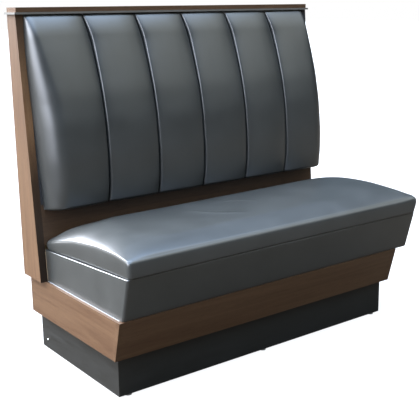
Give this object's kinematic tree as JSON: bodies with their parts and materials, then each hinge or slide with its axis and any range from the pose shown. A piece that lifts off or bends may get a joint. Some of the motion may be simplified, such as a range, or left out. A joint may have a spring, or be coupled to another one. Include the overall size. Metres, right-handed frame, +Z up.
{
  "type": "restaurant booth bench",
  "caption": "Single booth bench with a draw-forward boxed seat, channelled vinyl back, walnut end panel, band and cap, on a black toe base.",
  "frame": {"origin": "on the floor, under the middle of the bench's outer box", "axes": "+Z up, -Y the way the sitter faces, +X towards the end without a panel"},
  "size_m": [1.18, 0.604, 1.067],
  "materials": {
    "black_laminate": "black laminate over plywood, satin",
    "walnut": "walnut laminate, satin",
    "plywood": "bare plywood",
    "vinyl": "dark slate upholstery vinyl with a soft gloss",
    "foam": "open cell foam",
    "grip_pad": "woven hook and loop",
    "zinc_steel": "zinc plated",
    "glide": "nickel plated glide"
  },
  "bodies": {
    "bench": {"back_bolt_nuts": "zinc_steel", "back_bolt_rail": "plywood", "back_bolt_washers": "zinc_steel", "back_bolts": "zinc_steel", "back_bottom_rail": "plywood", "back_cover": "vinyl", "back_foam": "foam", "back_foot_screws": "zinc_steel", "back_left_side": "plywood", "back_noggings": "plywood", "back_rear_panel": "walnut", "back_right_side": "plywood", "back_studs": "plywood", "back_top_rail": "plywood", "band_cross_braces": "plywood", "band_front_board": "walnut", "band_left_board": "walnut", "band_rear_board": "walnut", "band_right_board": "walnut", "base_corner_blocks": "plywood", "base_cross_braces": "plywood", "base_front_board": "black_laminate", "base_glides": "glide", "base_left_board": "black_laminate", "base_rear_board": "black_laminate", "base_right_board": "black_laminate", "base_side_screws": "zinc_steel", "box_corner_blocks": "plywood", "box_cover": "vinyl", "box_cross_rails": "plywood", "box_floor": "plywood", "box_floor_screws": "zinc_steel", "box_front_rail": "plywood", "box_left_rail": "plywood", "box_rear_rail": "plywood", "box_right_rail": "plywood", "cap_board": "walnut", "cap_plate": "walnut", "cap_screws": "zinc_steel", "end_panel_screws": "zinc_steel", "left_end_panel": "walnut", "lower_back_panel": "walnut", "pad_backboard": "plywood", "platform_panel": "plywood", "platform_screws": "zinc_steel", "rear_panel_screws": "zinc_steel", "seat_loop_pads": "grip_pad"},
    "seat": {"seat_deck": "plywood", "seat_hook_pads": "grip_pad", "seat_foam": "foam", "seat_cover": "vinyl"}
  },
  "joints": [
    {"name": "seat_draw", "type": "slide", "parent": "bench", "child": "seat", "axis": [0, -0.9984, 0.0558], "range_m": [0, 0.06]}
  ]
}
